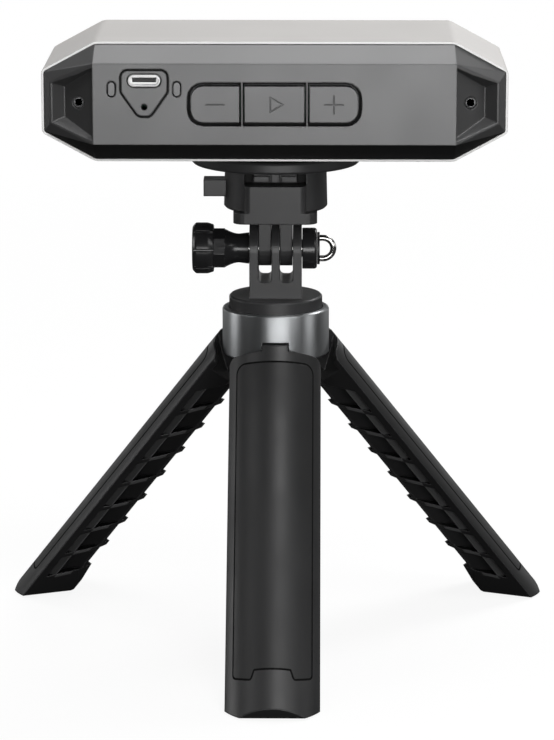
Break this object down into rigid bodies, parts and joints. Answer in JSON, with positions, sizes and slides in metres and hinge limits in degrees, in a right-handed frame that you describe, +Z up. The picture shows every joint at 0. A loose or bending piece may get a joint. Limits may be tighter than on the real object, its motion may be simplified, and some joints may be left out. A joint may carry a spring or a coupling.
{
  "type": "three-d scanner on a mini tripod",
  "caption": "Pocket three-d scanner head with rear keys on a quick-release tilt clamp and a folding mini tripod.",
  "frame": {"origin": "centre of the bounding box in X and Y, on the floor under the feet", "axes": "+Z up, +Y the way the lenses look, the rear keys face -Y, +X to the right seen from the keys"},
  "size_m": [0.159, 0.1396, 0.1756],
  "materials": {
    "outer_shell": "bead-blasted, pale warm grey",
    "rear_cover": "fine matt texture, mid grey",
    "port_plate": "matt, mid grey",
    "usb_c_shell": "bright plated",
    "usb_c_tongue": "black",
    "indicator_lens_left": "smoked",
    "indicator_lens_right": "smoked",
    "minus_button": "matt, mid grey",
    "play_button": "matt, mid grey",
    "plus_button": "matt, mid grey",
    "key_gasket": "black",
    "rear_screw_left": "black oxide",
    "rear_screw_right": "black oxide",
    "front_bezel": "black, satin",
    "front_glass": "dark tinted, polished",
    "left_infrared_camera": "black barrel",
    "right_infrared_camera": "black barrel",
    "pattern_projector": "black barrel",
    "color_camera": "black barrel",
    "fill_lamp_board": "white with clear domes",
    "optical_frame": "mill finish",
    "main_board": "green solder mask",
    "minus_switch": "plated",
    "play_switch": "plated",
    "plus_switch": "plated",
    "mounting_insert": "turned",
    "mount_pad": "black",
    "mount_disc": "black, satin",
    "mount_screw": "bright",
    "quick_release_body": "black, satin",
    "release_slide": "black, satin",
    "release_spring": "bright wire",
    "thumb_knob": "black, satin",
    "clamp_bolt": "bright",
    "nut_cap": "black, satin",
    "clamp_nut": "bright",
    "end_washer": "black",
    "tether_ring": "polished wire",
    "fork_head": "black, satin",
    "collar": "turned, anodised grey",
    "hub": "black",
    "hub_screw": "bright",
    "hinge_pin_front": "bright",
    "leg_front": "fine matt texture, dark grey",
    "leg_inlay_front": "matt, dark grey",
    "foot_pad_front": "black",
    "hinge_pin_left": "bright",
    "leg_left": "fine matt texture, dark grey",
    "leg_inlay_left": "matt, dark grey",
    "foot_pad_left": "black",
    "hinge_pin_right": "bright",
    "leg_right": "fine matt texture, dark grey",
    "leg_inlay_right": "matt, dark grey",
    "foot_pad_right": "black"
  },
  "bodies": {
    "tripod_head": {"fork_head": "fork_head", "collar": "collar", "hub": "hub", "hub_screw": "hub_screw", "hinge_pin_front": "hinge_pin_front", "hinge_pin_left": "hinge_pin_left", "hinge_pin_right": "hinge_pin_right", "nut_cap": "nut_cap", "clamp_nut": "clamp_nut", "end_washer": "end_washer", "tether_ring": "tether_ring"},
    "knob": {"thumb_knob": "thumb_knob", "clamp_bolt": "clamp_bolt"},
    "minus_key": {"minus_button": "minus_button"},
    "play_key": {"play_button": "play_button"},
    "plus_key": {"plus_button": "plus_button"},
    "release_tab": {"release_slide": "release_slide"},
    "front_leg": {"leg_front": "leg_front", "leg_inlay_front": "leg_inlay_front", "foot_pad_front": "foot_pad_front"},
    "left_leg": {"leg_left": "leg_left", "leg_inlay_left": "leg_inlay_left", "foot_pad_left": "foot_pad_left"},
    "right_leg": {"leg_right": "leg_right", "leg_inlay_right": "leg_inlay_right", "foot_pad_right": "foot_pad_right"},
    "scanner": {"outer_shell": "outer_shell", "rear_cover": "rear_cover", "port_plate": "port_plate", "usb_c_shell": "usb_c_shell", "usb_c_tongue": "usb_c_tongue", "indicator_lens_left": "indicator_lens_left", "indicator_lens_right": "indicator_lens_right", "key_gasket": "key_gasket", "rear_screw_left": "rear_screw_left", "rear_screw_right": "rear_screw_right", "front_bezel": "front_bezel", "front_glass": "front_glass", "left_infrared_camera": "left_infrared_camera", "right_infrared_camera": "right_infrared_camera", "pattern_projector": "pattern_projector", "color_camera": "color_camera", "fill_lamp_board": "fill_lamp_board", "optical_frame": "optical_frame", "main_board": "main_board", "minus_switch": "minus_switch", "play_switch": "play_switch", "plus_switch": "plus_switch", "mounting_insert": "mounting_insert", "mount_pad": "mount_pad", "mount_disc": "mount_disc", "mount_screw": "mount_screw", "quick_release_body": "quick_release_body", "release_spring": "release_spring"}
  },
  "joints": [
    {"name": "scanner_tilt", "type": "hinge", "parent": "tripod_head", "child": "scanner", "pos_m": [0, 0.01809, 0.11275], "axis": [1, 0, 0], "range_deg": [-75, 75]},
    {"name": "knob_turn", "type": "hinge", "parent": "tripod_head", "child": "knob", "pos_m": [-0.01, 0.01809, 0.11275], "axis": [1, 0, 0], "continuous": true},
    {"name": "minus_press", "type": "slide", "parent": "scanner", "child": "minus_key", "axis": [0, 1, 0], "range_m": [0, 0.0005], "stiffness_N_per_m": 3000, "springref_m": -0.0002},
    {"name": "play_press", "type": "slide", "parent": "scanner", "child": "play_key", "axis": [0, 1, 0], "range_m": [0, 0.0005], "stiffness_N_per_m": 3000, "springref_m": -0.0002},
    {"name": "plus_press", "type": "slide", "parent": "scanner", "child": "plus_key", "axis": [0, 1, 0], "range_m": [0, 0.0005], "stiffness_N_per_m": 3000, "springref_m": -0.0002},
    {"name": "release_press", "type": "slide", "parent": "scanner", "child": "release_tab", "axis": [1, 0, 0], "range_m": [0, 0.0012], "stiffness_N_per_m": 2500, "springref_m": -0.0006, "deforming": ["release_spring"]},
    {"name": "front_leg_fold", "type": "hinge", "parent": "tripod_head", "child": "front_leg", "pos_m": [0, 0.00909, 0.08782], "axis": [1, 0, 0], "range_deg": [0, 40]},
    {"name": "left_leg_fold", "type": "hinge", "parent": "tripod_head", "child": "left_leg", "pos_m": [-0.00779, 0.02259, 0.08782], "axis": [-0.5, -0.866, 0], "range_deg": [0, 40]},
    {"name": "right_leg_fold", "type": "hinge", "parent": "tripod_head", "child": "right_leg", "pos_m": [0.00779, 0.02259, 0.08782], "axis": [-0.5, 0.866, 0], "range_deg": [0, 40]}
  ]
}
